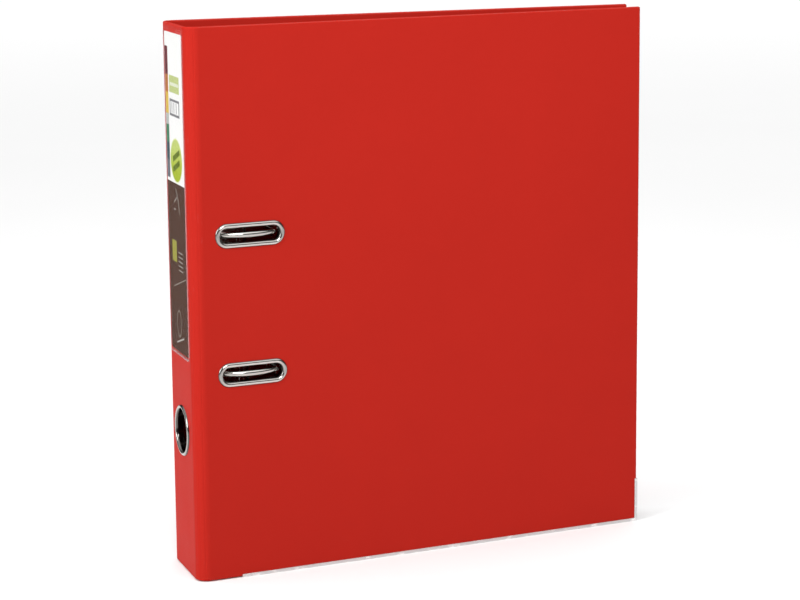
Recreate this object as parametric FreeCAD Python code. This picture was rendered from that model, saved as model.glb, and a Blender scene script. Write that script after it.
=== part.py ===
import FreeCAD, Part
import math
import os

# Lever arch file, A4, standing closed on its bottom edge.
# +Z is up, -Y is the front cover's side, -X is the spine's side. Units are millimetres.
# The case is drawn from the corner where the spine's and the front cover's outer planes meet,
# and everything is moved to the bottom centre of the overall box at the end.

V = FreeCAD.Vector
Z_AXIS = V(0, 0, 1)

# ---- case
HEIGHT = 318.0
COVER_WIDTH = 290.0
DEPTH = 56.0
LEAN = 6.0                      # degrees that the front cover leans in towards the back cover
BOARD = 2.6                     # covered board
FILM = 0.3                      # covering film and lining
TURN_IN = 1.0                   # film that shows round the lining
CORNER_R = 7.0                  # outer radius of the creased corners
CREASE_GAP = 0.15

# ---- edge rails
RAIL = 0.4
RAIL_LIP = 1.9
RAIL_START = 27.0
RAIL_RISE = 27.0

# ---- slots in the front cover
RING_SPACING = 80.0
RING_MID_Z = 160.0
SLOT_U = 36.0                   # from the spine's outer plane, along the cover
SLOT_LENGTH = 36.4
SLOT_HEIGHT = 8.2
EYELET_FLANGE = 3.0
EYELET_WALL = 0.5
EYELET_PROUD = 1.0
EYELET_ROLL = 0.75              # radius of the flange's outer edge
BACKING_STEP = 0.7              # how much smaller a backing ring is than its eyelet, all round

# ---- spine fittings
FINGER_Z = 84.0
FINGER_R = 12.6
FINGER_FLANGE_R = 15.0
FINGER_PROUD = 1.2
WASHER_STEP = 0.8
POCKET_Y = (7.0, 49.0)
POCKET_Z = (128.0, 316.0)
POCKET_FILM = 0.25
LABEL_SIZE = (37.0, 183.0)
LABEL_Z = 130.0
LABEL_THICK = 0.3

# ---- arch mechanism; x from the arch axis, h from the back lining, z from the floor
ARCH_AXIS_X = 12.0              # from the spine's outer plane
ARCH_AXIS_H = 5.0
WIRE_R = 1.8
RUN_CLEARANCE = 0.05
ARCH_SPAN = 42.0
ARCH_END_GAP = 0.4              # between the arch's straight end and the post's top
ARCH_TOP_H = 49.35
ARCH_TOP_R = 32.2
ARCH_SIDE_R = 9.0
WIRE_BEND_R = 3.2
POST_R = 2.0
POST_H = 23.6
POINT = 1.4                     # cone on each arch end
POINT_TIP_R = 0.4
SEAT_TIP_R = 0.2
SEAT_DEPTH = 1.6
SEAT_R = 1.65
FOOT_R = 4.5
PLATE = 1.2
PLATE_X = (-3.4, 50.0)
PLATE_Z = (96.0, 224.0)
PLATE_CORNER_R = 4.0
BEAD_H = 0.7                    # pressed stiffening beads
BEAD_ROUND = 0.6
BEADS = (((29.0, 32.0), (104.0, 216.0)), ((8.6, 11.6), (110.0, 140.0)))
RIVET_X = (5.5, 45.0)
RIVET_INSET_Z = 6.0
RIVET_R = 2.0
HEAD_R = 4.0
HEAD = 0.8
KNUCKLE_R = 3.4
KNUCKLES = ((126.0, 136.0), (146.0, 155.0), (191.4, 196.2))

# ---- lever, cam roller and crank
PIVOT_Z = 180.0
PIVOT_H = 22.4
LEVER_X = 17.5
LEVER_SHEET = 1.2
LEVER_INNER = 13.0
EAR = 1.5
EAR_GAP = 0.4
EAR_R = 5.0
PIVOT_R = 2.0
ROLLER_ARM = 12.0
ROLLER_ANGLE = 28.0             # from straight below the pivot, towards the handle
ROLLER_R = 4.0
ROLLER_PIN_R = 1.5
CRANK = 20.0
CRANK_Z = (160.0, 188.0)
TAB_WIDTH = 22.0
LEVER_LENGTH = 55.0
LEVER_EYE_R = 5.0
ROLLER_EYE_R = 3.6
ROLLER_GAP = 0.4
TAB_CORNER_R = 4.0
PIN_HEAD_STEP = 1.0
# side outlines of the lever, as distances below and above its pivot
LEVER_SIDE = ((0, 5), (12, 4), (42, -4), (42, -8.5), (20, -8), (9, -12), (2.4, -12), (-5, 0))
LEVER_HOLLOW = ((-9, 9), (9, 9), (12, 2.8), (44, -5.7), (44, -20), (-9, -20))
LEVER_TAB = ((38, -2.9), (42, -4), (50, -5), (55, -2.6), (55.3, -3.9), (50.2, -6.4), (42, -5.4), (38, -4.3))

# ---- opening spring under the crank
SPRING_X = CRANK
SPRING_WIDTH = 7.0
SPRING_SHEET = 0.5
SPRING_TIP_H = 2.4
SPRING_RIVET_R = 1.2
SPRING_RIVET_Z = 148.0
SPRING_FOOT = (5.0, 4.0)        # flat part below and above the rivet
SPRING_TIP_DROP = 2.0           # tip below the lever's pivot
SPRING_HEAD_R = 2.4
SPRING_HEAD = 0.7

# ---- compressor bar
BAR_X = (34.0, 51.0)
BAR_Z = (98.0, 222.0)
BAR_H = 2.4
BAR_SHEET = 1.0
BAR_LIP = 3.0
BAR_HOLE_R = 2.4
THUMB_REACH = 7.0
THUMB_HALF_WIDTH = 9.0

# ---- worked out from the above
PANEL_Z = (RAIL, HEIGHT)
LEAN_RAD = math.radians(LEAN)
FRONT_TURN = math.radians(90 + LEAN)
FRONT_START = CORNER_R * math.tan(FRONT_TURN / 2)
CORNER_C = V(CORNER_R, CORNER_R * (1 + math.sin(LEAN_RAD)) / math.cos(LEAN_RAD), 0)
LINING_Y = DEPTH - BOARD
RING_Z = (RING_MID_Z - RING_SPACING / 2, RING_MID_Z + RING_SPACING / 2)
MIDDLE = V(
    (COVER_WIDTH + RAIL - FINGER_PROUD) / 2,
    (DEPTH + HEAD + CORNER_C.y - CORNER_R) / 2,
    0)


def crease_offset(turn):
    """Distance from the outer planes to the axis that lets a corner open flat at its true length."""
    return CORNER_R * (1 - turn / (2 * math.tan(turn / 2)))


def box(x, y, z):
    """A box from three (low, high) pairs."""
    size = [high - low for low, high in (x, y, z)]
    return Part.makeBox(size[0], size[1], size[2], V(x[0], y[0], z[0]))


def prism(points, direction):
    """A flat outline pushed along a direction."""
    return Part.Face(Part.makePolygon(points + points[:1])).extrude(direction)


def stadium(length, height, depth, base):
    """A round-ended plate with its length along X, its depth along +Y, centred on base."""
    r = height / 2
    half = length / 2 - r
    body = Part.makeBox(2 * half, depth, height, base + V(-half, 0, -r))
    for side in (-half, half):
        body = body.fuse(Part.makeCylinder(r, depth, base + V(side, 0, 0), V(0, 1, 0)))
    return body.removeSplitter()


def leaned(shape):
    """Turn a piece drawn flat along X into the front cover's plane."""
    turned = shape.copy()
    turned.rotate(V(0, 0, 0), Z_AXIS, LEAN)
    return turned


# ---------------------------------------------------------------- case panels

def panel(u, z, edges_wrapped):
    """Board, outer film and lining of one panel, drawn in the XZ plane with its outside at y = 0.

    edges_wrapped gives how far the film covers the panel's low and high u edges.
    """
    low, high = edges_wrapped
    board = box((u[0] + low, u[1] - high), (FILM, BOARD - FILM), (z[0] + FILM, z[1] - FILM))
    lining = box(
        (u[0] + low * TURN_IN / FILM, u[1] - high * TURN_IN / FILM),
        (BOARD - FILM, BOARD),
        (z[0] + TURN_IN, z[1] - TURN_IN))
    film = box(u, (0, BOARD), z).cut(board).cut(lining)
    return {"board": board, "film": film, "lining": lining}


def slot_cut(z):
    return stadium(
        SLOT_LENGTH + 2 * EYELET_WALL, SLOT_HEIGHT + 2 * EYELET_WALL, BOARD + 2, V(SLOT_U, -1, z))


def front_pieces():
    layers = panel((FRONT_START, COVER_WIDTH), PANEL_Z, (0, FILM))
    pieces = {}
    for layer, name in (("board", "front_board"), ("film", "front_cover_film"), ("lining", "front_lining")):
        shape = layers[layer]
        for z in RING_Z:
            shape = shape.cut(slot_cut(z))
        pieces[name] = leaned(shape)
    for z, side in zip(RING_Z, ("lower", "upper")):
        eyelet, backing = slot_fittings(z)
        pieces[side + "_slot_eyelet"] = leaned(eyelet)
        pieces[side + "_slot_backing"] = leaned(backing)
    pieces["front_edge_rail"] = leaned(edge_rail())
    return pieces


def slot_fittings(z):
    """Rolled metal eyelet with a barrel through the cover, and the ring that it is clinched over."""
    length = SLOT_LENGTH + 2 * EYELET_FLANGE
    height = SLOT_HEIGHT + 2 * EYELET_FLANGE
    flange = stadium(length, height, EYELET_PROUD, V(SLOT_U, -EYELET_PROUD, z))
    rim = [e for e in flange.Edges if abs(e.BoundBox.YMax + EYELET_PROUD) < 1e-4]
    flange = flange.makeFillet(EYELET_ROLL, rim)
    barrel_length = SLOT_LENGTH + 2 * EYELET_WALL
    barrel_height = SLOT_HEIGHT + 2 * EYELET_WALL
    barrel_depth = BOARD + 2 * EYELET_WALL
    barrel = stadium(barrel_length, barrel_height, barrel_depth, V(SLOT_U, 0, z))
    opening = stadium(SLOT_LENGTH, SLOT_HEIGHT, BOARD + 8, V(SLOT_U, -4, z))
    eyelet = flange.fuse(barrel).cut(opening)
    backing = stadium(
        length - 2 * BACKING_STEP, height - 2 * BACKING_STEP, EYELET_WALL, V(SLOT_U, BOARD, z)).cut(barrel)
    return eyelet, backing


def back_pieces():
    layers = panel((CORNER_R, COVER_WIDTH), PANEL_Z, (0, FILM))
    pieces = {}
    for layer, name in (("board", "back_board"), ("film", "back_cover_film"), ("lining", "back_lining")):
        shape = layers[layer].mirror(V(0, 0, 0), V(0, 1, 0))
        shape.translate(V(0, DEPTH, 0))
        for rivet_hole in rivet_shanks():
            shape = shape.cut(rivet_hole)
        pieces[name] = shape
    rail = edge_rail().mirror(V(0, 0, 0), V(0, 1, 0))
    rail.translate(V(0, DEPTH, 0))
    pieces["back_edge_rail"] = rail
    return pieces


def spine_pieces():
    layers = panel((CORNER_C.y, DEPTH - CORNER_R), PANEL_Z, (0, 0))
    centre_y = DEPTH / 2
    through = Part.makeCylinder(FINGER_R + EYELET_WALL, 20, V(-10, centre_y, FINGER_Z), V(1, 0, 0))
    pieces = {}
    for layer, name in (("board", "spine_board"), ("film", "spine_film"), ("lining", "spine_lining")):
        shape = layers[layer].mirror(V(0, 0, 0), V(0, 1, 0))
        shape.rotate(V(0, 0, 0), Z_AXIS, 90)
        pieces[name] = shape.cut(through)
    pieces["finger_ring"], pieces["finger_ring_backing"] = finger_ring(centre_y)
    pieces["label_pocket"], pieces["spine_label"] = label_and_pocket(centre_y)
    return pieces


def finger_ring(y):
    """Rolled ring in the finger hole, turned about the hole's axis, and its backing washer."""
    inner, wall, outer = FINGER_R, FINGER_R + EYELET_WALL, FINGER_FLANGE_R
    back = BOARD + 2 * EYELET_WALL
    crest = (inner + outer) / 2
    start = V(back, inner, 0)
    edges = [
        Part.makeLine(start, V(back, wall, 0)),
        Part.makeLine(V(back, wall, 0), V(0, wall, 0)),
        Part.makeLine(V(0, wall, 0), V(0, outer, 0)),
        Part.Arc(V(0, outer, 0), V(-FINGER_PROUD, crest, 0), V(0, inner, 0)).toShape(),
        Part.makeLine(V(0, inner, 0), start),
    ]
    ring = Part.Face(Part.Wire(edges)).revolve(V(0, 0, 0), V(1, 0, 0), 360)
    axis_start = V(BOARD, 0, 0)
    washer = Part.makeCylinder(outer - WASHER_STEP, EYELET_WALL, axis_start, V(1, 0, 0))
    washer = washer.cut(Part.makeCylinder(wall, EYELET_WALL, axis_start, V(1, 0, 0)))
    for shape in (ring, washer):
        shape.translate(V(0, y, FINGER_Z))
    return ring, washer


def label_and_pocket(y):
    """Card label behind a clear pocket that is welded on three sides and open at the top."""
    width, height = LABEL_SIZE
    card = box((-LABEL_THICK, 0), (y - width / 2, y + width / 2), (LABEL_Z, LABEL_Z + height))
    inside = box((-LABEL_THICK, 0), (y - width / 2, y + width / 2), (LABEL_Z, HEIGHT))
    pocket = box((-LABEL_THICK - POCKET_FILM, 0), POCKET_Y, POCKET_Z).cut(inside)
    return pocket, card


def edge_rail():
    """Folded metal edge, along the bottom and turned up round the free corner."""
    u = (RAIL_START, COVER_WIDTH + RAIL)
    outer = (-RAIL, BOARD + RAIL)
    lip_u = (COVER_WIDTH + RAIL - RAIL_LIP, COVER_WIDTH + RAIL)
    rail = box(u, outer, (0, RAIL_LIP)).fuse(box(lip_u, outer, (0, RAIL_RISE)))
    inside = box((u[0] - 1, COVER_WIDTH), (0, BOARD), (RAIL, RAIL_RISE + 1))
    return rail.cut(inside).removeSplitter()


def crease(centre, first, turn):
    """Creased corner between two panels: an arc band swept from the angle `first`, in degrees."""
    gap = math.degrees(CREASE_GAP / CORNER_R)
    band = Part.makeCylinder(
        CORNER_R, PANEL_Z[1] - PANEL_Z[0], centre + V(0, 0, PANEL_Z[0]), Z_AXIS, turn - 2 * gap)
    core = Part.makeCylinder(CORNER_R - BOARD, HEIGHT + 2, centre + V(0, 0, -1), Z_AXIS, 360)
    band = band.cut(core)
    band.rotate(centre, Z_AXIS, first + gap)
    return band


# ---------------------------------------------------------------- mechanism

def at(x, h, z):
    """Point from the arch axis, the height over the back lining and the height over the floor."""
    return V(ARCH_AXIS_X + x, LINING_Y - h, z)


def slab(x, h, z):
    """Box in mechanism coordinates."""
    low = at(x[0], h[1], z[0])
    return Part.makeBox(x[1] - x[0], h[1] - h[0], z[1] - z[0], low)


def standing(r, x, z, h):
    """Cylinder standing on the back cover, from h[0] to h[1]."""
    return Part.makeCylinder(r, h[1] - h[0], at(x, h[0], z), V(0, -1, 0))


def across(r, x, h, z):
    """Cylinder along X."""
    return Part.makeCylinder(r, x[1] - x[0], at(x[0], h, z), V(1, 0, 0))


def along_spine(r, x, h, z):
    """Cylinder along Z."""
    return Part.makeCylinder(r, z[1] - z[0], at(x, h, z[0]), Z_AXIS)


def rivet_places():
    rows = (PLATE_Z[0] + RIVET_INSET_Z, PLATE_Z[1] - RIVET_INSET_Z)
    return [(x, z) for x in RIVET_X for z in rows]


def rivet_shanks():
    return [standing(RIVET_R, x, z, (-BOARD, PLATE)) for x, z in rivet_places()]


def mounting_rivets():
    rivets = []
    for (x, z), shank in zip(rivet_places(), rivet_shanks()):
        inner_head = standing(HEAD_R, x, z, (PLATE, PLATE + HEAD))
        outer_head = standing(HEAD_R, x, z, (-BOARD - HEAD, -BOARD))
        rivets.append(shank.fuse([inner_head, outer_head]))
    return Part.makeCompound(rivets)


def bead(x, z):
    """Low rib with its top edges rounded, standing on the base plate."""
    rib = slab(x, (PLATE, PLATE + BEAD_H), z)
    top_y = LINING_Y - PLATE - BEAD_H
    top = [e for e in rib.Edges if e.BoundBox.YMax < top_y + FILM]
    return rib.makeFillet(BEAD_ROUND, top)


def base_plate():
    """Pressed plate with stiffening beads, two ears for the lever and knuckles round the arch wire."""
    plate = slab(PLATE_X, (0, PLATE), PLATE_Z)
    corners = [e for e in plate.Edges if abs(e.tangentAt(e.FirstParameter).y) > 0.99]
    plate = plate.makeFillet(PLATE_CORNER_R, corners)
    for x, z in BEADS:
        plate = plate.fuse(bead(x, z))
    for side in (-1, 1):
        inner = LEVER_X + side * (LEVER_INNER / 2 + LEVER_SHEET + EAR_GAP)
        x = sorted((inner, inner + side * EAR))
        plate = plate.fuse(slab(x, (0, PIVOT_H), (PIVOT_Z - EAR_R, PIVOT_Z + EAR_R)))
        plate = plate.fuse(across(EAR_R, x, PIVOT_H, PIVOT_Z))
    for z in KNUCKLES:
        plate = plate.fuse(along_spine(KNUCKLE_R, 0, ARCH_AXIS_H, z))
        plate = plate.fuse(slab((-KNUCKLE_R, -KNUCKLE_R + PLATE), (0, ARCH_AXIS_H), z))
    plate = plate.cut(along_spine(WIRE_R + RUN_CLEARANCE, 0, ARCH_AXIS_H, (PLATE_Z[0], PLATE_Z[1])))
    plate = plate.cut(across(PIVOT_R, (0, 2 * LEVER_X), PIVOT_H, PIVOT_Z))
    for x, z in rivet_places():
        plate = plate.cut(standing(RIVET_R, x, z, (-1, PLATE + 1)))
    plate = plate.cut(standing(SPRING_RIVET_R, SPRING_X, SPRING_RIVET_Z, (-1, PLATE + 1)))
    return plate.removeSplitter()


def post(z):
    """Fixed post with a foot and a coned seat for the arch's point."""
    foot = standing(FOOT_R, ARCH_SPAN, z, (PLATE, PLATE + HEAD))
    body = foot.fuse(standing(POST_R, ARCH_SPAN, z, (PLATE, POST_H)))
    seat = Part.makeCone(SEAT_R, SEAT_TIP_R, SEAT_DEPTH, at(ARCH_SPAN, POST_H, z), V(0, 1, 0))
    return body.cut(seat)


def arch_outline(z):
    """Edges of one arch, from the foot of its leg to the end over the post."""
    leg_h = ARCH_TOP_H - ARCH_TOP_R + math.sqrt(
        (ARCH_TOP_R - ARCH_SIDE_R) ** 2 - (ARCH_SPAN / 2 - ARCH_SIDE_R) ** 2)
    top_c = (ARCH_SPAN / 2, ARCH_TOP_H - ARCH_TOP_R)
    flank = math.asin((ARCH_SPAN / 2 - ARCH_SIDE_R) / (ARCH_TOP_R - ARCH_SIDE_R))

    def on(centre, radius, angle):
        return at(centre[0] + radius * math.sin(angle), centre[1] + radius * math.cos(angle), z)

    near_c = (ARCH_SIDE_R, leg_h)
    far_c = (ARCH_SPAN - ARCH_SIDE_R, leg_h)
    quarter = math.pi / 2
    mid = (quarter + flank) / 2
    return [
        Part.makeLine(at(0, ARCH_AXIS_H + WIRE_BEND_R, z), at(0, leg_h, z)),
        Part.Arc(on(near_c, ARCH_SIDE_R, -quarter), on(near_c, ARCH_SIDE_R, -mid),
                 on(near_c, ARCH_SIDE_R, -flank)).toShape(),
        Part.Arc(on(top_c, ARCH_TOP_R, -flank), on(top_c, ARCH_TOP_R, 0),
                 on(top_c, ARCH_TOP_R, flank)).toShape(),
        Part.Arc(on(far_c, ARCH_SIDE_R, flank), on(far_c, ARCH_SIDE_R, mid),
                 on(far_c, ARCH_SIDE_R, quarter)).toShape(),
        Part.makeLine(at(ARCH_SPAN, leg_h, z), at(ARCH_SPAN, POST_H + ARCH_END_GAP, z)),
    ]


def bend(corner, before, after):
    """Round a corner of the wire between the unit directions of the two runs that meet there."""
    centre = corner - before * WIRE_BEND_R + after * WIRE_BEND_R
    middle = centre + (corner - centre) * (1 / math.sqrt(2))
    return Part.Arc(corner - before * WIRE_BEND_R, middle, corner + after * WIRE_BEND_R).toShape()


def arch_bow():
    """Both arches, the shaft between them and its crank, bent from one wire."""
    up, out, rise = V(0, 0, 1), V(1, 0, 0), V(0, -1, 0)
    low, high = RING_Z
    h = ARCH_AXIS_H
    b = WIRE_BEND_R
    shaft = [
        bend(at(0, h, low), rise * -1, up),
        Part.makeLine(at(0, h, low + b), at(0, h, CRANK_Z[0] - b)),
        bend(at(0, h, CRANK_Z[0]), up, out),
        Part.makeLine(at(b, h, CRANK_Z[0]), at(CRANK - b, h, CRANK_Z[0])),
        bend(at(CRANK, h, CRANK_Z[0]), out, up),
        Part.makeLine(at(CRANK, h, CRANK_Z[0] + b), at(CRANK, h, CRANK_Z[1] - b)),
        bend(at(CRANK, h, CRANK_Z[1]), up, out * -1),
        Part.makeLine(at(CRANK - b, h, CRANK_Z[1]), at(b, h, CRANK_Z[1])),
        bend(at(0, h, CRANK_Z[1]), out * -1, up),
        Part.makeLine(at(0, h, CRANK_Z[1] + b), at(0, h, high - b)),
        bend(at(0, h, high), up, rise),
    ]
    edges = arch_outline(low)[::-1] + shaft + arch_outline(high)
    path = Part.Wire(Part.__sortEdges__(edges))
    end = at(ARCH_SPAN, POST_H + ARCH_END_GAP, low)
    section = Part.Wire(Part.makeCircle(WIRE_R, end, V(0, 1, 0)))
    bow = path.makePipeShell([section], True, False)
    for z in RING_Z:
        tip = at(ARCH_SPAN, POST_H + ARCH_END_GAP, z)
        bow = bow.fuse(Part.makeCone(WIRE_R, POINT_TIP_R, POINT, tip, V(0, 1, 0)))
    return bow


def opening_spring():
    """Leaf spring pressed flat under the crank, riveted to the base plate at its lower end."""
    low, bend_z = SPRING_RIVET_Z - SPRING_FOOT[0], SPRING_RIVET_Z + SPRING_FOOT[1]
    tip = PIVOT_Z - SPRING_TIP_DROP
    x = SPRING_X - SPRING_WIDTH / 2
    outline = [
        at(x, PLATE, low), at(x, PLATE, bend_z), at(x, SPRING_TIP_H, tip),
        at(x, SPRING_TIP_H + SPRING_SHEET, tip), at(x, PLATE + SPRING_SHEET, bend_z),
        at(x, PLATE + SPRING_SHEET, low)]
    leaf = prism(outline, V(SPRING_WIDTH, 0, 0))
    return leaf.cut(standing(SPRING_RIVET_R, SPRING_X, SPRING_RIVET_Z, (0, 4)))


def spring_rivet():
    head_h = PLATE + SPRING_SHEET
    shank = standing(SPRING_RIVET_R, SPRING_X, SPRING_RIVET_Z, (0, head_h))
    return shank.fuse(standing(SPRING_HEAD_R, SPRING_X, SPRING_RIVET_Z, (head_h, head_h + SPRING_HEAD)))


def lever_outline(points, x, width):
    """Side outline of the lever, in distances below and above its pivot, pushed across the file."""
    corners = [at(x, PIVOT_H + rise, PIVOT_Z - reach) for reach, rise in points]
    return prism(corners, V(width, 0, 0))


def roller_place():
    angle = math.radians(ROLLER_ANGLE)
    return PIVOT_H - ROLLER_ARM * math.cos(angle), PIVOT_Z - ROLLER_ARM * math.sin(angle)


def lever():
    """Folded channel: two cheeks that hold the cam roller, a web over them and a wide finger tab."""
    full = LEVER_INNER + 2 * LEVER_SHEET
    left = LEVER_X - full / 2
    roller_h, roller_z = roller_place()
    body = lever_outline(LEVER_SIDE, left, full)
    body = body.fuse(across(LEVER_EYE_R, (left, left + full), PIVOT_H, PIVOT_Z))
    body = body.fuse(across(ROLLER_EYE_R, (left, left + full), roller_h, roller_z))
    body = body.cut(lever_outline(LEVER_HOLLOW, left + LEVER_SHEET, LEVER_INNER))
    handle = lever_outline(LEVER_TAB, LEVER_X - TAB_WIDTH / 2, TAB_WIDTH)
    ends = [e for e in handle.Edges if abs(e.tangentAt(e.FirstParameter).x) < 0.01
            and e.BoundBox.ZMax < PIVOT_Z - LEVER_LENGTH + 0.2 and e.Length < 2]
    handle = handle.makeFillet(TAB_CORNER_R, ends)
    body = body.fuse(handle)
    body = body.cut(across(PIVOT_R + RUN_CLEARANCE, (0, 2 * LEVER_X), PIVOT_H, PIVOT_Z))
    return body.cut(across(ROLLER_PIN_R, (0, 2 * LEVER_X), roller_h, roller_z)).removeSplitter()


def lever_pivot_pin():
    reach = LEVER_INNER / 2 + LEVER_SHEET + EAR_GAP + EAR
    pin = across(PIVOT_R, (LEVER_X - reach, LEVER_X + reach), PIVOT_H, PIVOT_Z)
    for x in ((LEVER_X - reach - HEAD, LEVER_X - reach), (LEVER_X + reach, LEVER_X + reach + HEAD)):
        pin = pin.fuse(across(PIVOT_R + PIN_HEAD_STEP, x, PIVOT_H, PIVOT_Z))
    return pin


def roller_pin():
    reach = LEVER_INNER / 2 + LEVER_SHEET
    h, z = roller_place()
    return across(ROLLER_PIN_R, (LEVER_X - reach, LEVER_X + reach), h, z)


def cam_roller():
    half = LEVER_INNER / 2 - ROLLER_GAP
    h, z = roller_place()
    roller = across(ROLLER_R, (LEVER_X - half, LEVER_X + half), h, z)
    return roller.cut(across(ROLLER_PIN_R + RUN_CLEARANCE, (LEVER_X - half, LEVER_X + half), h, z))


def compressor_bar():
    """Channel that slides on the posts and holds the sheets down."""
    bar = slab(BAR_X, (BAR_H, BAR_H + BAR_LIP), BAR_Z)
    hollow_x = (BAR_X[0] + BAR_SHEET, BAR_X[1] - BAR_SHEET)
    bar = bar.cut(slab(hollow_x, (BAR_H + BAR_SHEET, BAR_H + BAR_LIP), BAR_Z))
    thumb = slab(
        (BAR_X[1] - BAR_SHEET, BAR_X[1] + THUMB_REACH),
        (BAR_H, BAR_H + BAR_SHEET),
        (RING_MID_Z - THUMB_HALF_WIDTH, RING_MID_Z + THUMB_HALF_WIDTH))
    bar = bar.fuse(thumb)
    for z in RING_Z:
        bar = bar.cut(standing(BAR_HOLE_R, ARCH_SPAN, z, (0, BAR_H + BAR_LIP + 1)))
    return bar.removeSplitter()


# ---------------------------------------------------------------- assembly

def all_pieces():
    pieces = {}
    pieces.update(back_pieces())
    pieces.update(spine_pieces())
    pieces.update(front_pieces())
    back_centre = V(CORNER_R, DEPTH - CORNER_R, 0)
    pieces["back_hinge_strip"] = crease(back_centre, 90, 90)
    pieces["front_hinge_strip"] = crease(CORNER_C, 180, 90 + LEAN)
    pieces["base_plate"] = base_plate()
    pieces["mounting_rivets"] = mounting_rivets()
    pieces["lower_post"], pieces["upper_post"] = [post(z) for z in RING_Z]
    pieces["arch_bow"] = arch_bow()
    pieces["opening_spring"] = opening_spring()
    pieces["spring_rivet"] = spring_rivet()
    pieces["lever"] = lever()
    pieces["lever_pivot_pin"] = lever_pivot_pin()
    pieces["cam_roller"] = cam_roller()
    pieces["roller_pin"] = roller_pin()
    pieces["compressor_bar"] = compressor_bar()
    return pieces


def joint_places():
    """Joint axes, for the assembly's record."""
    front = crease_offset(FRONT_TURN)
    back = crease_offset(math.pi / 2)
    roller_h, roller_z = roller_place()
    return {
        "front_cover_open": V(front, front * (1 + math.sin(LEAN_RAD)) / math.cos(LEAN_RAD), 0),
        "spine_fold": V(back, DEPTH - back, 0),
        "arch_swing": at(0, ARCH_AXIS_H, RING_MID_Z),
        "lever_lift": at(LEVER_X, PIVOT_H, PIVOT_Z),
        "roller_spin": at(LEVER_X, roller_h, roller_z),
        "compressor_slide": at(ARCH_SPAN, BAR_H, RING_MID_Z),
    }


os.makedirs("parts", exist_ok=True)
for node, piece in sorted(all_pieces().items()):
    piece.translate(MIDDLE * -1)
    piece.exportStep("parts/" + node + ".step")
    print("%-22s %9.1f mm3 %s" % (node, piece.Volume, "ok" if piece.isValid() else "INVALID"))
for name, place in joint_places().items():
    spot = place - MIDDLE
    print("joint %-18s %.4f %.4f %.4f" % (name, spot.x, spot.y, spot.z))
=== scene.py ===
import math

import bmesh
import bpy
from mathutils import Matrix, Vector


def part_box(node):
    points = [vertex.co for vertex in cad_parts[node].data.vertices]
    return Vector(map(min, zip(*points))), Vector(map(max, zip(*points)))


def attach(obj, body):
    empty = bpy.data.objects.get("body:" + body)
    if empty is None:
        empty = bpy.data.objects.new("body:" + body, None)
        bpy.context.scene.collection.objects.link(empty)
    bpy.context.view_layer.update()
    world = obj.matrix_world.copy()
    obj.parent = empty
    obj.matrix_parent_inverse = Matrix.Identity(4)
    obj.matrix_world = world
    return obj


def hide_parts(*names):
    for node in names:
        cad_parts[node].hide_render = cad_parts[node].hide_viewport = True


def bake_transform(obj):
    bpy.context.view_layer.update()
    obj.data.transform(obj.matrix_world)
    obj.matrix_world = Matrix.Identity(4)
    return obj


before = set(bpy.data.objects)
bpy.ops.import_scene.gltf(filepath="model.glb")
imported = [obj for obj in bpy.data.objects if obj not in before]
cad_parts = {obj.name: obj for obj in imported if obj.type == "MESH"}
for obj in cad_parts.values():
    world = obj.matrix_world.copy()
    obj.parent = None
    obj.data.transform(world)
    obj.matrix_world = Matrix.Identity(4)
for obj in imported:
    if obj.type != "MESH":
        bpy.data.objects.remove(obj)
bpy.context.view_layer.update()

bl_info = {
    "name": "Lever arch file",
    "version": (1, 0, 0),
    "blender": (4, 5, 0),
    "location": "View3D > Sidebar > Lever arch file",
    "description": "Dresses the frame of a lever arch file with its covering, fittings and mechanism",
    "category": "Object",
}

MM = 0.001
UP = Vector((0, 0, 1))
EAST, NORTH = Vector((1, 0, 0)), Vector((0, 1, 0))

# facets of the rounded shapes
EDGE_STEPS = 5
CORNER_STEPS = 6
OVAL_STEPS = 18
CREASE_STEPS = 48
DISC_STEPS = 48
CUTTER_STEPS = 64
TURN_STEPS = 40
POST_STEPS = 48

# angles over which an edge is kept sharp or rounded
SMOOTH_ANGLE = math.radians(32)
ROLLED_ANGLE = math.radians(60)
CREASE_ANGLE = math.radians(50)
POST_ANGLE = math.radians(40)
BEVEL_ANGLE = math.radians(35)
FLAT_ANGLE = math.radians(0.6)

# distances at which points of a mesh are one
CAD_MERGE = 0.002 * MM
RIM_MERGE = 0.005 * MM


# ---------------------------------------------------------------- places read from the frame

def low(node):
    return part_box(node)[0]


def high(node):
    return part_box(node)[1]


def middle(node):
    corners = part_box(node)
    return (corners[0] + corners[1]) / 2


SPINE_X = low("spine_film").x
BACK_Y = high("back_cover_film").y
THICK = BACK_Y - low("back_cover_film").y
CASE_Z = (low("spine_film").z, high("spine_film").z)
CORNER_R = low("back_cover_film").x - SPINE_X


LEAN_ROUNDS = 20                # rounds in which the angle settles


def lean_angle():
    """Angle of the front cover, from the box of its film and the cover's thickness."""
    size = high("front_cover_film") - low("front_cover_film")
    angle = 0.0
    for _ in range(LEAN_ROUNDS):
        angle = math.atan2(size.y - THICK * math.cos(angle), size.x - THICK * math.sin(angle))
    return angle


LEAN = lean_angle()
ALONG = Vector((math.cos(LEAN), math.sin(LEAN), 0))
INTO = Vector((-math.sin(LEAN), math.cos(LEAN), 0))
FRONT_START = Vector((low("front_cover_film").x + THICK * math.sin(LEAN), low("front_cover_film").y, 0))
FRONT_LENGTH = (high("front_cover_film").x - FRONT_START.x) / math.cos(LEAN)
BACK_START = Vector((low("back_cover_film").x, BACK_Y, 0))
BACK_LENGTH = high("back_cover_film").x - BACK_START.x
SPINE_NEAR = Vector((SPINE_X, low("spine_film").y, 0))
SPINE_FAR = Vector((SPINE_X, high("spine_film").y, 0))


# ---------------------------------------------------------------- settings

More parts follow.
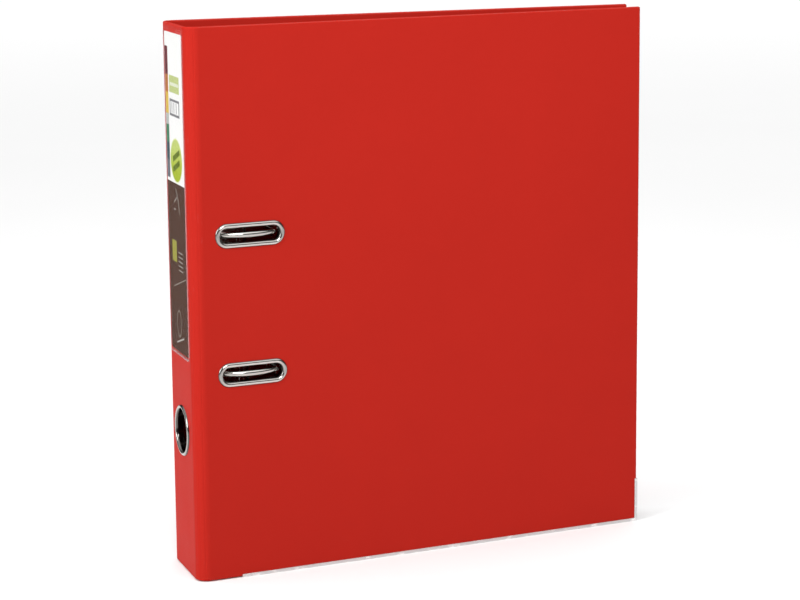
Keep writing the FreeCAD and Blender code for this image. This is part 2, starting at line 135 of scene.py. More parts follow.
class CaseSettings(bpy.types.PropertyGroup):
    """Sizes of the covered boards"""
    edge_radius: bpy.props.FloatProperty(
        name="Edge radius", description="Rounding of the covered board's edges", default=1.05 * MM,
        unit="LENGTH")
    lining_inset: bpy.props.FloatProperty(
        name="Lining inset", description="Width of covering film turned in round the lining",
        default=4.0 * MM, unit="LENGTH")
    lining_step: bpy.props.FloatProperty(
        name="Lining step", description="Height of the lining's edge over the turned-in film",
        default=0.18 * MM, unit="LENGTH")
    grooves: bpy.props.IntProperty(
        name="Crease grooves", description="Pressed grooves round each corner", default=3, min=0)
    groove_depth: bpy.props.FloatProperty(
        name="Groove depth", description="Depth of a crease groove", default=0.16 * MM, unit="LENGTH")


class FittingSettings(bpy.types.PropertyGroup):
    """Sizes of the metal fittings in the boards"""
    slot_height: bpy.props.FloatProperty(
        name="Slot height", description="Clear height of a slot", default=8.2 * MM, unit="LENGTH")
    slot_length: bpy.props.FloatProperty(
        name="Slot length", description="Clear length of a slot", default=36.4 * MM, unit="LENGTH")
    finger_radius: bpy.props.FloatProperty(
        name="Finger hole radius", description="Clear radius of the finger ring", default=12.6 * MM,
        unit="LENGTH")
    wall: bpy.props.FloatProperty(
        name="Barrel wall", description="Sheet thickness of the eyelets and the finger ring",
        default=0.5 * MM, unit="LENGTH")
    rivet_radius: bpy.props.FloatProperty(
        name="Rivet head radius", description="Radius of a mounting rivet's head", default=4.0 * MM,
        unit="LENGTH")


class ColourSettings(bpy.types.PropertyGroup):
    """Colours of the file"""
    film: bpy.props.FloatVectorProperty(
        name="Film", description="Covering film", subtype="COLOR", default=(0.385, 0.0155, 0.0095))
    label_paper: bpy.props.FloatVectorProperty(
        name="Label paper", description="Plain part of the label", subtype="COLOR",
        default=(0.66, 0.66, 0.65))
    label_panel: bpy.props.FloatVectorProperty(
        name="Label panel", description="Dark part of the label", subtype="COLOR",
        default=(0.047, 0.016, 0.006))
    label_green: bpy.props.FloatVectorProperty(
        name="Label green", description="Disc and bar on the label", subtype="COLOR",
        default=(0.27, 0.34, 0.008))
    nickel: bpy.props.FloatVectorProperty(
        name="Nickel", description="Plated fittings and mechanism", subtype="COLOR",
        default=(0.52, 0.50, 0.475))


class StageSettings(bpy.types.PropertyGroup):
    """Floor, lights and camera"""
    camera_place: bpy.props.FloatVectorProperty(
        name="Camera place", description="Position of the camera", subtype="TRANSLATION",
        default=(-0.4917, -1.3810, 0.4303))
    yaw: bpy.props.FloatProperty(
        name="Yaw", description="Turn of the view from +Y towards +X", subtype="ANGLE",
        default=math.radians(19.20))
    pitch: bpy.props.FloatProperty(
        name="Pitch", description="Downward tilt of the view", subtype="ANGLE",
        default=math.radians(10.82))
    roll: bpy.props.FloatProperty(
        name="Roll", description="Roll of the camera", subtype="ANGLE", default=math.radians(-0.54))
    lens: bpy.props.FloatProperty(
        name="Lens", description="Focal length", default=113.6, min=10.0)
    world_light: bpy.props.FloatProperty(
        name="Surround", description="Strength of the pale surround", default=1.10, min=0.0)


def settings():
    return bpy.context.scene.lever_arch_file


# ---------------------------------------------------------------- shader building

def math_operator(operation, swapped=False):
    """Method that adds the Math node of one operator."""
    def combine(self, *others):
        terms = (self, *others)
        return self.calculate(operation, reversed(terms) if swapped else terms)
    return combine


class Wire:
    """A shader socket that can stand in a sum. Each operator adds a Math node."""

    def __init__(self, paint, socket):
        self.paint = paint
        self.socket = socket

    def calculate(self, operation, terms):
        return self.paint.node("ShaderNodeMath", {"operation": operation}, dict(enumerate(terms)))

    __add__, __radd__ = math_operator("ADD"), math_operator("ADD", swapped=True)
    __sub__, __rsub__ = math_operator("SUBTRACT"), math_operator("SUBTRACT", swapped=True)
    __mul__, __rmul__ = math_operator("MULTIPLY"), math_operator("MULTIPLY", swapped=True)
    __truediv__, __rtruediv__ = math_operator("DIVIDE"), math_operator("DIVIDE", swapped=True)
    __pow__, __rpow__ = math_operator("POWER"), math_operator("POWER", swapped=True)
    __abs__ = math_operator("ABSOLUTE")
    root = math_operator("SQRT")


def set_stops(ramp, stops, interpolation="LINEAR"):
    """Give a colour ramp its stops, as (place, colour)."""
    ramp.interpolation = interpolation
    while len(ramp.elements) > 1:
        ramp.elements.remove(ramp.elements[-1])
    for index, (place, colour) in enumerate(stops):
        element = ramp.elements[0] if index == 0 else ramp.elements.new(place)
        element.position = place
        element.color = (*colour, 1.0)


class Paint:
    """A material and its Principled shader."""

    def __init__(self, name, **constants):
        self.material = bpy.data.materials.new(name)
        self.material.use_nodes = True
        self.tree = self.material.node_tree
        self.shader = self.tree.nodes["Principled BSDF"]
        for socket, value in constants.items():
            self.shader.inputs[socket.replace("_", " ")].default_value = value

    def node(self, kind, options=None, values=None, output=0):
        """Add a node: its settings first, then the values or links of its sockets."""
        made = self.tree.nodes.new(kind)
        for key, value in (options or {}).items():
            if key == "stops":
                set_stops(made.color_ramp, *value)
            else:
                setattr(made, key, value)
        for key, value in (values or {}).items():
            if isinstance(value, Wire):
                self.tree.links.new(value.socket, made.inputs[key])
            else:
                made.inputs[key].default_value = value
        return Wire(self, made.outputs[output])

    def feed(self, **sockets):
        for socket, wire in sockets.items():
            self.tree.links.new(wire.socket, self.shader.inputs[socket.replace("_", " ")])

    def place(self, centre=(0, 0, 0), stretch=(1, 1, 1), turn=(0, 0, 0)):
        """Object coordinates, moved to centre, turned and then stretched."""
        coords = self.node("ShaderNodeTexCoord", output="Object")
        moved = self.node("ShaderNodeVectorMath", {"operation": "SUBTRACT"}, {0: coords, 1: centre})
        return self.node("ShaderNodeMapping", {"vector_type": "POINT"},
                         {"Vector": moved, "Rotation": turn, "Scale": stretch})

    def distance(self, centre, direction):
        """How far a point lies from centre, along direction."""
        return self.node("ShaderNodeVectorMath", {"operation": "DOT_PRODUCT"},
                         {0: self.place(centre=centre), 1: direction}, output=1)

    def axes(self, vector):
        return [self.node("ShaderNodeSeparateXYZ", None, {0: vector}, output=axis) for axis in range(3)]

    def noise(self, vector, scale, detail=3.0, roughness=0.5):
        return self.node("ShaderNodeTexNoise", {"noise_dimensions": "3D"},
                         {"Vector": vector, "Scale": scale, "Detail": detail, "Roughness": roughness})

    def cells(self, vector, scale, feature="F1"):
        return self.node("ShaderNodeTexVoronoi", {"feature": feature}, {"Vector": vector, "Scale": scale})

    def slope(self, value, start, end):
        """Smooth step of a value from 0 at start to 1 at end."""
        return self.node("ShaderNodeMapRange", {"interpolation_type": "SMOOTHSTEP"},
                         {"Value": value, "From Min": start, "From Max": end})

    def band(self, value, start, end, soft):
        """1 between start and end, with soft edges."""
        return self.slope(value, start - soft, start + soft) * self.slope(value, end + soft, end - soft)

    def mix(self, factor, first, second):
        """Colour mix; the colours are tuples or wires."""
        first, second = [c if isinstance(c, Wire) else (*c, 1.0) for c in (first, second)]
        return self.node("ShaderNodeMix", {"data_type": "RGBA"},
                         {0: factor, 6: first, 7: second}, output=2)

    def shade(self, colour, factor, darkest, lightest):
        """A colour varied between two multiples of itself."""
        dark = tuple(channel * darkest for channel in colour)
        light = tuple(min(1.0, channel * lightest) for channel in colour)
        return self.mix(factor, dark, light)

    def bump(self, height, distance, strength):
        return self.node("ShaderNodeBump", None,
                         {"Height": height, "Distance": distance, "Strength": strength})


# ---------------------------------------------------------------- finishes

# sizes of the patterns, in repeats per metre
PEBBLE = 1500.0
FILM_FIBRE = 3200.0
BOARD_FIBRE, BOARD_FLECK = 900.0, 1400.0
HAIRLINE, DRAWN_LINE, SPRING_LINE = 2600.0, 2400.0, 2200.0
CARD_FIBRE = 1500.0
WELD_DIMPLE = 1100.0

# heights of the patterns
FILM_GRAIN = 0.022 * MM
LINING_GRAIN = 0.03 * MM
CREASE_GRAIN = 0.02 * MM
BOARD_GRAIN = 0.08 * MM
STEEL_GRAIN = 0.008 * MM
PLATE_GRAIN = 0.010 * MM
NICKEL_GRAIN = 0.006 * MM
POCKET_GRAIN = 0.05 * MM
CARD_GRAIN = 0.01 * MM

FILM_IOR = 1.49
POCKET_IOR = 1.5
WELD_WIDTH = 1.2 * MM


def scaled(colour, factor):
    return tuple(channel * factor for channel in colour)


def paler(colour, lift):
    """A colour rubbed towards white."""
    return tuple(0.75 * channel + lift for channel in colour)


def film_finish(name, colour, gloss=0.50, grain=FILM_GRAIN, shine=0.04):
    """Polypropylene film: fine pressed grain, cloudy gloss, a few handling marks."""
    paint = Paint(name, Specular_IOR_Level=shine, IOR=FILM_IOR)
    here = paint.place()
    cloud = paint.noise(here, 9.0, 2.0)
    patch = paint.noise(here, 38.0, 4.0, 0.6)
    pebble = paint.cells(here, PEBBLE, "SMOOTH_F1")
    fibre = paint.noise(here, FILM_FIBRE, 2.0)
    scuffs = paint.noise(paint.place(stretch=(0.35, 1.0, 2.4), turn=(0.2, 0.4, 0.3)), 320.0, 3.0, 0.65)
    scuffed = paint.slope(scuffs, 0.66, 0.78)
    tone = cloud * 0.6 + patch * 0.4
    base = paint.shade(colour, tone, 0.94, 1.06)
    paint.feed(
        Base_Color=paint.mix(scuffed * 0.06, base, paler(colour, 0.10)),
        Roughness=gloss + (patch - 0.5) * 0.16 + pebble * 0.08 + scuffed * 0.07,
        Normal=paint.bump(pebble * 0.7 + fibre * 0.3, grain, 0.55))
    return paint.material


def crease_finish(name, colour, start, end):
    """The same film round a corner, paler where it has been bent, with fine stretch lines."""
    paint = Paint(name, Specular_IOR_Level=0.04, IOR=FILM_IOR)
    here = paint.place()
    across = [(a + b) / 2 for a, b in zip(start, end)]
    pebble = paint.cells(here, PEBBLE, "SMOOTH_F1")
    cloud = paint.noise(here, 12.0, 3.0)
    strain = paint.noise(paint.place(centre=across, stretch=(1.0, 1.0, 0.03)), 1400.0, 3.0, 0.6)
    wear = paint.noise(here, 120.0, 4.0, 0.6)
    pale = paint.slope(wear, 0.55, 0.75) * paint.slope(strain, 0.5, 0.7)
    base = paint.shade(colour, cloud, 0.96, 1.08)
    paint.feed(
        Base_Color=paint.mix(pale * 0.18, base, paler(colour, 0.12)),
        Roughness=0.46 + pebble * 0.08 + pale * 0.08,
        Normal=paint.bump(pebble * 0.5 + strain * 0.5, CREASE_GRAIN, 0.5))
    return paint.material


def board_finish():
    """Grey recycled board with short fibres and flecks."""
    paint = Paint("greyboard", Specular_IOR_Level=0.2, Roughness=0.92)
    here = paint.place()
    fibre = paint.noise(paint.place(stretch=(1.0, 1.0, 0.2)), BOARD_FIBRE, 5.0, 0.7)
    fleck = paint.slope(paint.noise(here, BOARD_FLECK, 2.0), 0.68, 0.74)
    grey = paint.shade((0.30, 0.27, 0.235), fibre, 0.75, 1.2)
    paint.feed(
        Base_Color=paint.mix(fleck * 0.5, grey, (0.09, 0.08, 0.07)),
        Normal=paint.bump(fibre, BOARD_GRAIN, 0.7))
    return paint.material


def nickel_finish(name, tone=1.0, gloss=0.16, brushed=(1, 1, 1), scratch=NICKEL_GRAIN, crown=None):
    """Nickel plate: cloudy gloss, hairline scratches and faint tarnish. A rim's crown is given as a place
    in the outer plane, the direction inwards, the depths where a painted highlight on its top turns into
    painted shade lower down, and the half length of a long opening, whose ends get a painted dark
    reflection."""
    paint = Paint(name, Metallic=1.0)
    colour = scaled(settings().colours.nickel, tone)
    hair = paint.noise(paint.place(stretch=brushed), HAIRLINE, 3.0, 0.6)
    cloud = paint.noise(paint.place(), 90.0, 4.0, 0.6)
    stain = paint.slope(paint.noise(paint.place(), 34.0, 3.0), 0.55, 0.8)
    base = paint.mix(stain * 0.35, paint.shade(colour, cloud, 0.92, 1.06),
                     (colour[0] * 0.86, colour[1] * 0.80, colour[2] * 0.70))
    # Painted light: only the top of a rim's crown keeps the plain colour, as a painted highlight. Lower
    # down and in the barrel it turns to painted shade, and a long opening's ends get a painted dark
    # reflection.
    if crown:
        plane, inward, highlight_depth, shade_depth, half = crown
        painted_shade = scaled(colour, 0.26)
        base = paint.mix(paint.slope(paint.distance(plane, inward), highlight_depth, shade_depth), base, painted_shade)
        if half:
            painted_dark_ends = paint.slope(abs(paint.distance(plane, ALONG)), half * 0.8, half * 1.15)
            base = paint.mix(painted_dark_ends * 0.5, base, painted_shade)
    paint.feed(
        Base_Color=base,
        Roughness=gloss + (cloud - 0.5) * 0.10 + (hair - 0.5) * 0.10 + stain * 0.06,
        Normal=paint.bump(hair, scratch, 0.5))
    return paint.material


def edge_metal_finish():
    """Folded steel edge, drawn lengthways, with rubbed high spots."""
    paint = Paint("edge_metal", Metallic=1.0)
    drawn = paint.noise(paint.place(stretch=(0.03, 0.3, 1.0)), DRAWN_LINE, 3.0, 0.6)
    rubbed = paint.slope(paint.noise(paint.place(stretch=(1.0, 1.0, 2.0)), 160.0, 4.0), 0.5, 0.72)
    paint.feed(
        Base_Color=paint.mix(rubbed, (0.62, 0.62, 0.62), (0.86, 0.86, 0.85)),
        Roughness=0.30 + (drawn - 0.5) * 0.22 - rubbed * 0.06,
        Normal=paint.bump(drawn, STEEL_GRAIN, 0.6))
    return paint.material


def spring_finish():
    """Blued spring steel."""
    paint = Paint("spring_steel", Metallic=1.0)
    hair = paint.noise(paint.place(stretch=(1.0, 1.0, 0.05)), SPRING_LINE, 3.0, 0.6)
    heat = paint.noise(paint.place(), 120.0, 2.0)
    paint.feed(
        Base_Color=paint.mix(heat, (0.17, 0.19, 0.25), (0.30, 0.27, 0.26)),
        Roughness=0.32 + (hair - 0.5) * 0.2,
        Normal=paint.bump(hair, STEEL_GRAIN, 0.5))
    return paint.material


def pocket_finish():
    """Clear film, milky along its welded border."""
    paint = Paint("clear_pocket", Specular_IOR_Level=0.12, IOR=POCKET_IOR)
    lowest, highest = low("label_pocket"), high("label_pocket")
    _, y, z = paint.axes(paint.place())
    soft = 0.2 * MM
    inside = paint.band(y, lowest.y + WELD_WIDTH, highest.y - WELD_WIDTH, soft)
    inside = inside * paint.slope(z, lowest.z + WELD_WIDTH - soft, lowest.z + WELD_WIDTH + soft)
    weld = 1.0 - inside
    dimple = paint.cells(paint.place(), WELD_DIMPLE)
    ripple = paint.noise(paint.place(stretch=(1.0, 1.0, 0.4)), 60.0, 2.0)
    paint.feed(
        Base_Color=paint.mix(weld, (0.93, 0.94, 0.95), (0.95, 0.74, 0.74)),
        Alpha=0.012 + weld * (0.05 + dimple * 0.07),
        Roughness=0.12 + weld * 0.25,
        Normal=paint.bump(ripple * 0.6 + weld * dimple * 0.4, POCKET_GRAIN, 0.6))
    paint.material.surface_render_method = "BLENDED"
    return paint.material


# The label's print. Places and spans across are in half widths from the middle, those upwards in heights
# from the bottom edge. A patch is a span across and a span upwards. A bar is a place, a length and a
# width in mm, and a tilt. Each mark ends with its strength and colour.
PRINT_EDGE = 0.12 * MM
PANEL_TOP = 0.535
SWATCHES = ("patch", (0.64, 0.985), (0.545, 0.955))
SWATCH_STOPS = (
    (0.0, (0.10, 0.11, 0.13)), (0.60, (0.021, 0.053, 0.068)), (0.655, (0.03, 0.15, 0.076)),
    (0.71, (0.34, 0.36, 0.34)), (0.745, (0.50, 0.343, 0.053)), (0.81, (0.34, 0.125, 0.03)),
    (0.865, (0.10, 0.014, 0.021)))
GREEN_BAR = ("patch", (-0.66, 0.52), (0.815, 0.868))
FRAME_OUTSIDE = ("patch", (-0.66, 0.52), (0.742, 0.795))
FRAME_INSIDE = ("patch", (-0.56, 0.42), (0.75, 0.787))
FRAME_INK = (0.07, 0.07, 0.08)
FRAME_MARKS = [("patch", (across - 0.05, across + 0.05), (0.752, 0.785), 0.7, (0.09, 0.09, 0.10))
               for across in (-0.28, 0.0, 0.24)]
BAR_LINE = ("patch", (-0.58, 0.44), (0.836, 0.846))
DISC = (-0.13, 0.607, 13.6 * MM, 12.9 * MM)
DISC_RIM, DISC_PALE = (0.60, 0.63, 0.42), (0.387, 0.453, 0.13)
DISC_MARKS = [("bar", (-0.13, upwards), (16, 3.2, -0.35), 1.0, (0.085, 0.125, 0.002))
              for upwards in (0.622, 0.590)]
PANEL_INK = (0.34, 0.34, 0.31)
PANEL_MARKS = [
    ("bar", (-0.1, 0.500), (9, 0.8, 0.9), 0.7, PANEL_INK),
    ("bar", (0.1, 0.482), (7, 0.8, -0.5), 0.7, PANEL_INK),
    ("bar", (-0.3, 0.463), (9, 0.8, 1.2), 0.7, PANEL_INK),
    ("bar", (0.2, 0.452), (4, 0.8, 0.0), 0.7, PANEL_INK),
    ("patch", (0.1, 0.62), (0.285, 0.352), 0.75, (0.30, 0.30, 0.04))]
PANEL_MARKS += [
    ("patch", (-0.62, -0.1), (0.262 + 0.014 * row, 0.266 + 0.014 * row), 0.6, (0.34, 0.33, 0.31))
    for row in range(5)]
PANEL_MARKS += [("bar", (-0.2, 0.225), (28, 0.6, -0.28), 0.6, (0.30, 0.29, 0.26))]
LOOP = (0.0, 0.092, 5.0 * MM, 8.0 * MM)
LOOP_INK = (0.27, 0.26, 0.23)
FOOT_MARK = ("bar", (-0.1, 0.040), (17, 0.9, -0.28), 0.75, (0.40, 0.39, 0.36))


def label_finish(colours):
    """Printed card: plain head, colour swatches, a green disc and a dark panel with small marks."""
    paint = Paint("label_card", Specular_IOR_Level=0.01)
    card_low, card_high = low("spine_label"), high("spine_label")
    half = (card_high.y - card_low.y) / 2
    tall = card_high.z - card_low.z
    _, y, z = paint.axes(paint.place(centre=(0, card_low.y + half, card_low.z)))

    def mask(kind, place, size):
        """1 on a patch or a bar, 0 off it."""
        if kind == "patch":
            return paint.band(y, place[0] * half, place[1] * half, PRINT_EDGE) * paint.band(
                z, size[0] * tall, size[1] * tall, PRINT_EDGE)
        across, upwards = y - place[0] * half, z - place[1] * tall
        length, width, tilt = size[0] * MM, size[1] * MM, size[2]
        run = across * math.cos(tilt) + upwards * math.sin(tilt)
        rise = upwards * math.cos(tilt) - across * math.sin(tilt)
        return paint.band(run, -length / 2, length / 2, PRINT_EDGE) * paint.band(
            rise, -width / 2, width / 2, PRINT_EDGE)

    def oval(across, upwards, y_radius, z_radius):
        """1 at the middle of an ellipse, falling to 0 at its rim and below 0 outside."""
        return 1.0 - (((y - across * half) / y_radius) ** 2 + ((z - upwards * tall) / z_radius) ** 2).root()

    def marked(printed, marks):
        for kind, place, size, strength, colour in marks:
            printed = paint.mix(mask(kind, place, size) * strength, printed, colour)
        return printed

    green, paper = tuple(colours.label_green), tuple(colours.label_paper)
    fibre = paint.noise(paint.place(), CARD_FIBRE, 4.0, 0.6)
    head = paint.shade(paper, fibre, 0.96, 1.03)
    panel = paint.shade(tuple(colours.label_panel), fibre, 0.85, 1.15)
    below = paint.slope(z, PANEL_TOP * tall + PRINT_EDGE, PANEL_TOP * tall - PRINT_EDGE)
    swatches = paint.node("ShaderNodeValToRGB", {"stops": (SWATCH_STOPS, "CONSTANT")}, {"Fac": z / tall})
    printed = paint.mix(mask(*SWATCHES), paint.mix(below, head, panel), swatches)
    printed = marked(printed, [(*GREEN_BAR, 0.75, green)])
    printed = paint.mix((mask(*FRAME_OUTSIDE) - mask(*FRAME_INSIDE)) * 0.85, printed, FRAME_INK)
    printed = marked(printed, FRAME_MARKS + [(*BAR_LINE, 0.55, paper)])
    disc = oval(*DISC)
    printed = paint.mix(paint.slope(disc, 0.0, 0.02), printed, DISC_RIM)
    glow = paint.mix(paint.slope(z, 0.56 * tall, 0.67 * tall), green, DISC_PALE)
    printed = paint.mix(paint.slope(disc, 0.06, 0.08), printed, glow)
    printed = marked(printed, DISC_MARKS + PANEL_MARKS)
    printed = paint.mix(paint.band(oval(*LOOP), 0.0, 0.14, 0.02) * 0.5, printed, LOOP_INK)
    printed = marked(printed, [FOOT_MARK])
    paint.feed(
        Base_Color=printed,
        Roughness=0.55 + (fibre - 0.5) * 0.2,
        Normal=paint.bump(fibre, CARD_GRAIN, 0.5))
    return paint.material


def floor_finish():
    """Pale floor, painted a little paler far away to stand in for the lamp light that doesn't reach there.
    """
    paint = Paint("floor", Specular_IOR_Level=0.1, Roughness=0.9)
    cloud = paint.noise(paint.place(), 3.0, 2.0)
    x, y, _ = paint.axes(paint.place())
    far = paint.slope((x ** 2 + y ** 2).root(), 1.0, 5.0)
    near = paint.mix(cloud, (0.82, 0.82, 0.82), (0.84, 0.84, 0.84))
    paint.feed(Base_Color=paint.mix(far, near, (0.97, 0.97, 0.97)))
    return paint.material


# ---------------------------------------------------------------- mesh building

def new_object(name, bm, material):
    mesh = bpy.data.meshes.new(name)
    bm.to_mesh(mesh)
    bm.free()
    made = bpy.data.objects.new(name, mesh)
    bpy.context.scene.collection.objects.link(made)
    mesh.materials.append(material)
    return made


def loft(name, rings, material, capped=True, looped=False):
    """Skin closed rings of points, in order."""
    bm = bmesh.new()
    rows = [[bm.verts.new(point) for point in ring] for ring in rings]
    count = len(rows[0])
    pairs = list(zip(rows, rows[1:]))
    if looped:
        pairs.append((rows[-1], rows[0]))
    for first, second in pairs:
        for i in range(count):
            j = (i + 1) % count
            bm.faces.new((first[i], first[j], second[j], second[i]))
    if capped:
        bm.faces.new(rows[0])
        bm.faces.new(rows[-1])
    bmesh.ops.recalc_face_normals(bm, faces=bm.faces)
    return new_object(name, bm, material)


def settle(made, smooth_angle=SMOOTH_ANGLE):
    """Apply a piece's modifiers, then shade it smooth with face-weighted normals."""
    for face in made.data.polygons:
        face.use_smooth = True
    made.data.set_sharp_from_angle(angle=smooth_angle)
    weight = made.modifiers.new("weighted", "WEIGHTED_NORMAL")
    weight.keep_sharp = True
    flatten(made)
    return made


def flatten(made):
    """Turn the evaluated piece into a plain mesh."""
    graph = bpy.context.evaluated_depsgraph_get()
    mesh = bpy.data.meshes.new_from_object(made.evaluated_get(graph))
    old = made.data
    made.modifiers.clear()
    made.data = mesh
    bpy.data.meshes.remove(old)


def cut_away(made, cutters):
    """Boolean difference with each cutter, which is then deleted."""
    for cutter in cutters:
        tool = made.modifiers.new("cut", "BOOLEAN")
        tool.operation = "DIFFERENCE"
        tool.solver = "EXACT"
        tool.object = cutter
    flatten(made)
    for cutter in cutters:
        bpy.data.objects.remove(cutter)


def softened(node, name, material, width, segments=2):
    """A copy of a CAD node with its mesh merged and its sharp edges rounded."""
    bm = bmesh.new()
    bm.from_mesh(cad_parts[node].data)
    bmesh.ops.remove_doubles(bm, verts=bm.verts, dist=CAD_MERGE)
    bmesh.ops.dissolve_limit(bm, angle_limit=FLAT_ANGLE, verts=bm.verts, edges=bm.edges)
    if width:
        sharp = [e for e in bm.edges if len(e.link_faces) == 2 and e.calc_face_angle(0) > BEVEL_ANGLE]
        bmesh.ops.bevel(bm, geom=sharp, offset=width, segments=segments, profile=0.5,
                        affect="EDGES", clamp_overlap=True)
    bmesh.ops.triangulate(bm, faces=[f for f in bm.faces if len(f.verts) > 4])
    return settle(new_object(name, bm, material))


def fit(made, body, slot, *nodes):
    """Ride on a body and stand for CAD nodes. The slot argument is not used."""
    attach(made, body)
    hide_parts(*nodes)


def softened_piece(node, name, body, slot, material, width, segments=2):
    fit(softened(node, name, material, width, segments), body, slot, node)


LEAST_R = 0.02 * MM             # smallest radius, so that no ring of points closes to one point
EDGE_CLOSE = 0.98               # share of the edge's rounding that a board's last ring closes in


def section_ring(point, inward, inset, press, edge_r):
    """Rounded cross-section of a covered board at one place along its path."""
    corner = max(edge_r - inset, LEAST_R)
    near, far = inset + press + corner, THICK - inset - corner
    bottom, top = CASE_Z[0] + inset + corner, CASE_Z[1] - inset - corner
    ring = []
    for n, z, first in ((near, bottom, 180), (far, bottom, 270), (far, top, 0), (near, top, 90)):
        for k in range(EDGE_STEPS + 1):
            angle = math.radians(first + 90 * k / EDGE_STEPS)
            depth = n + corner * math.cos(angle)
            ring.append(point + inward * depth + UP * (z + corner * math.sin(angle)))
    return ring


def straight_stations(start, direction, inward, length, edge_r):
    """Stations of a straight panel whose far edge is rounded."""
    stations = [(start, inward, 0.0, 0.0), (start + direction * (length - edge_r), inward, 0.0, 0.0)]
    for k in range(1, EDGE_STEPS + 1):
        angle = math.pi / 2 * k / EDGE_STEPS
        along = length - edge_r + edge_r * math.sin(angle)
        inset = edge_r * (1 - math.cos(angle)) * EDGE_CLOSE
        stations.append((start + direction * along, inward, inset, 0.0))
    return stations


def covered_board(name, stations, material, case):
    """Board skinned through its stations: place, direction inwards, inset and pressed depth."""
    return loft(name, [section_ring(*station, case.edge_radius) for station in stations], material)


def oval_ring(centre, along, depth_axis, half, radius, offset, depth):
    """Closed round-ended loop, offset out from the opening's edge."""
    ring = []
    for side, first in ((1, -90), (-1, 90)):
        for k in range(OVAL_STEPS + 1):
            angle = math.radians(first + 180 * k / OVAL_STEPS)
            reach = radius + offset
            ring.append(centre + along * (side * half + reach * math.cos(angle))
                        + UP * (reach * math.sin(angle)) + depth_axis * depth)
    return ring


def rolled_rim(name, centre, along, depth_axis, half, radius, profile, material):
    """Closed rim swept round an opening; profile points are (out from the edge, depth)."""
    rings = [oval_ring(centre, along, depth_axis, half, radius, out, depth) for out, depth in profile]
    made = loft(name, rings, material, capped=False, looped=True)
    bm = bmesh.new()
    bm.from_mesh(made.data)
    bmesh.ops.remove_doubles(bm, verts=bm.verts, dist=RIM_MERGE)
    bmesh.ops.recalc_face_normals(bm, faces=bm.faces)
    bm.to_mesh(made.data)
    bm.free()
    return made


def rounded_outline(corners):
    """Outline with an arc at each corner: across, upwards, the arc's first angle and its radius."""
    points = []
    for across, upwards, first, radius in corners:
        side = 1 if first in (90, 180) else -1
        rise = 1 if first in (180, 270) else -1
        for k in range(CORNER_STEPS + 1):
            angle = math.radians(first + 90 * k / CORNER_STEPS)
            points.append((across + side * radius + radius * math.cos(angle),
                           upwards + rise * radius + radius * math.sin(angle)))
    return points


def rounded_sheet(name, outline, origin, across, inward, levels, material):
    """Thin sheet skinned through levels, each a depth and how far the rim is drawn in there."""
    centre = [(min(places) + max(places)) / 2 for places in zip(*outline)]
    rings = []
    for depth, shrink in levels:
        ring = []
        for point in outline:
            u, z = [place + shrink * (1 if place < mid else -1) for place, mid in zip(point, centre)]
            ring.append(origin + across * u + inward * depth + UP * z)
        rings.append(ring)
    return loft(name, rings, material)


def turned(name, place, axis, profile, material, segments=TURN_STEPS):
    """Turned piece; profile points are (radius, distance along the axis)."""
    side = axis.orthogonal().normalized()
    other = axis.cross(side)
    rings = []
    for radius, distance in profile:
        ring = []
        for k in range(segments):
            angle = 2 * math.pi * k / segments
            spoke = side * math.cos(angle) + other * math.sin(angle)
            ring.append(place + axis * distance + spoke * max(radius, LEAST_R))
        rings.append(ring)
    return loft(name, rings, material)


def repeat_tree():
    """Geometry Nodes group that repeats its geometry along a line."""
    tree = bpy.data.node_groups.new("repeat along a line", "GeometryNodeTree")
    for name, direction, kind in (
            ("Geometry", "INPUT", "Geometry"), ("Count", "INPUT", "Int"), ("Step", "INPUT", "Vector"),
            ("Finish", "INPUT", "Material"), ("Geometry", "OUTPUT", "Geometry")):
        tree.interface.new_socket(name=name, in_out=direction, socket_type="NodeSocket" + kind)
    nodes, links = tree.nodes, tree.links
    source = nodes.new("NodeGroupInput")
    line = nodes.new("GeometryNodeMeshLine")
    line.mode = "OFFSET"
    copies = nodes.new("GeometryNodeInstanceOnPoints")
    real = nodes.new("GeometryNodeRealizeInstances")
    paint = nodes.new("GeometryNodeSetMaterial")
    sink = nodes.new("NodeGroupOutput")
    for node, socket, target, into in (
            (source, "Count", line, "Count"), (source, "Step", line, "Offset"),
            (line, "Mesh", copies, "Points"), (source, "Geometry", copies, "Instance"),
            (copies, "Instances", real, "Geometry"), (real, "Geometry", paint, "Geometry"),
            (source, "Finish", paint, "Material"), (paint, "Geometry", sink, "Geometry")):
        links.new(node.outputs[socket], target.inputs[into])
    return tree


def repeated(made, count, step):
    """Repeat a piece along a line and make the result its own mesh."""
    tree = bpy.data.node_groups.get("repeat along a line") or repeat_tree()
    tool = made.modifiers.new("repeat", "NODES")
    tool.node_group = tree
    sockets = {item.name: item.identifier for item in tree.interface.items_tree if item.in_out == "INPUT"}
    tool[sockets["Count"]] = count
    tool[sockets["Step"]] = step
    tool[sockets["Finish"]] = made.data.materials[0]
    flatten(made)


# ---------------------------------------------------------------- case pieces

def front_point(u, n, z):
    """Point from the front cover's hinge edge, along it, in from its outside and up."""
    return FRONT_START + ALONG * u + INTO * n + UP * z


def slot_places():
    """Centres of the slots as (distance along the cover, height)."""
    places = []
    for node in ("lower_slot_eyelet", "upper_slot_eyelet"):
        centre = middle(node)
        places.append(((Vector((centre.x, centre.y, 0)) - FRONT_START).dot(ALONG), centre.z))
    return places


CUT_PAST = 4 * MM               # how far a cutter reaches past what it cuts


def slot_shape(fittings):
    """Half the straight length of a slot, and the radius of its ends."""
    radius = fittings.slot_height / 2
    return fittings.slot_length / 2 - radius, radius


def slot_cutters(fittings):
    """Prisms that open the slots in a sheet of the front cover, wide enough for the barrels."""
    cutters = []
    for u, z in slot_places():
        rings = [oval_ring(front_point(u, 0, z), ALONG, INTO, *slot_shape(fittings), fittings.wall, depth)
                 for depth in (-CUT_PAST, THICK + CUT_PAST)]
        cutters.append(loft("slot_cutter", rings, None))
    return cutters


